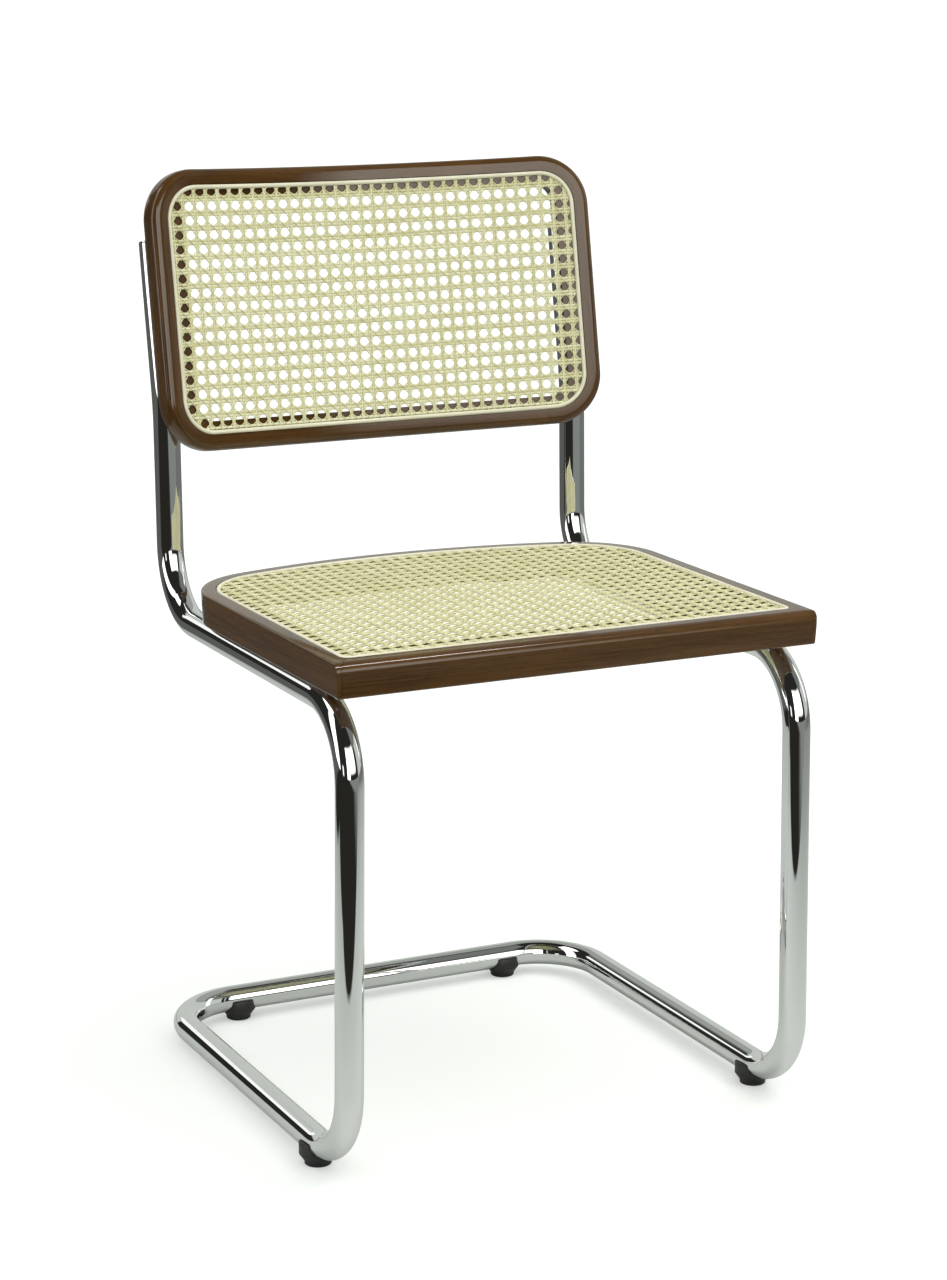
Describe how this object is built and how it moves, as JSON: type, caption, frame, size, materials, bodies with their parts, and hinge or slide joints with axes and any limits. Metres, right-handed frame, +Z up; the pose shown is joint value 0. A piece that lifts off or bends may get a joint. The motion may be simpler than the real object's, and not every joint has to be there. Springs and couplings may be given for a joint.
{
  "type": "visitor chair",
  "caption": "Cantilever visitor chair: one bent chromed tube carries a bentwood seat and a curved back, both holding woven cane panels.",
  "frame": {"origin": "on the floor under the middle of the chair's box: midway between the sides, and midway between the front of the tube and the rear of the back", "axes": "+X to the chair's side (the viewer's right from the front), -Y the way the sitter faces, +Z up"},
  "size_m": [0.4756, 0.4918, 0.835],
  "materials": {
    "chrome": "polished chrome plate on bent steel tube",
    "glide_plastic": "matt black moulded plastic",
    "stained_wood": "dark brown stained beech under satin lacquer",
    "dowel_wood": "plain turned beech",
    "cane": "natural woven cane, pale straw with a soft sheen",
    "spline": "natural cane spline, pale cream",
    "screw_steel": "zinc-plated screws"
  },
  "bodies": {
    "root": {"tube_frame": "chrome", "end_cap_left": "chrome", "end_cap_right": "chrome", "glide_front_left": "glide_plastic", "glide_front_right": "glide_plastic", "glide_rear_left": "glide_plastic", "glide_rear_right": "glide_plastic", "seat_bow": "stained_wood", "seat_front_rail": "stained_wood", "seat_dowel_outer_left": "dowel_wood", "seat_dowel_inner_left": "dowel_wood", "seat_dowel_outer_right": "dowel_wood", "seat_dowel_inner_right": "dowel_wood", "seat_cane": "cane", "seat_spline": "spline", "back_hoop": "stained_wood", "back_cane": "cane", "back_spline": "spline", "seat_screw_front_left": "screw_steel", "seat_screw_front_right": "screw_steel", "seat_screw_rear_left": "screw_steel", "seat_screw_rear_right": "screw_steel", "back_screw_lower_left": "screw_steel", "back_screw_lower_right": "screw_steel", "back_screw_upper_left": "screw_steel", "back_screw_upper_right": "screw_steel"}
  },
  "joints": []
}
